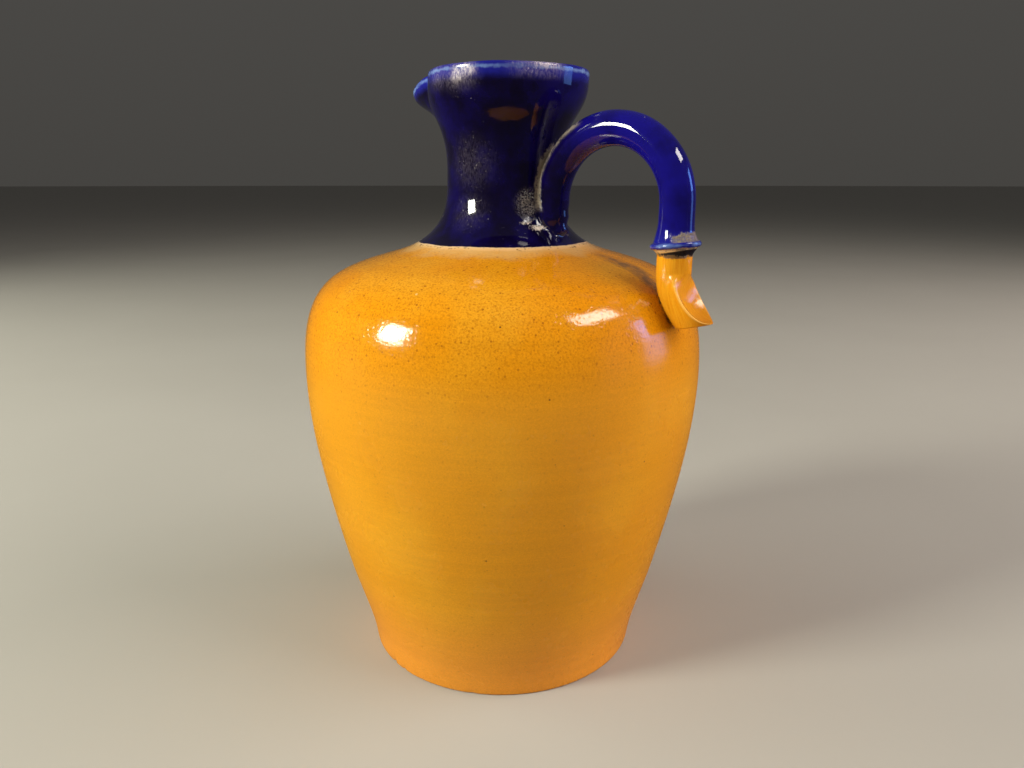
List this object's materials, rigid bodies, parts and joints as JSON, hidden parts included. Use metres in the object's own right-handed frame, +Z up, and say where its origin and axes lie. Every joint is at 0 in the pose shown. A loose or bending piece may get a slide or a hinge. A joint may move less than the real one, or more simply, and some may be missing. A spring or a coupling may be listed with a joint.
{
  "type": "stoneware jug",
  "caption": "Hollow stoneware jug: ochre salt-glazed body, dark blue neck with a pouring lip, and a bow handle with a collar and a thumb-pressed strap end.",
  "frame": {"origin": "centre of the round underside, on the surface that the jug stands on", "axes": "+Z up along the body's axis, +X towards the handle, -X towards the pouring lip"},
  "size_m": [0.1465, 0.1368, 0.2],
  "materials": {
    "stoneware": "ochre salt glaze with fine orange peel and iron specks; glossy dark cobalt glaze on the neck, the mouth and the handle down to its collar"
  },
  "bodies": {
    "root": {"jug": "stoneware"}
  },
  "joints": []
}
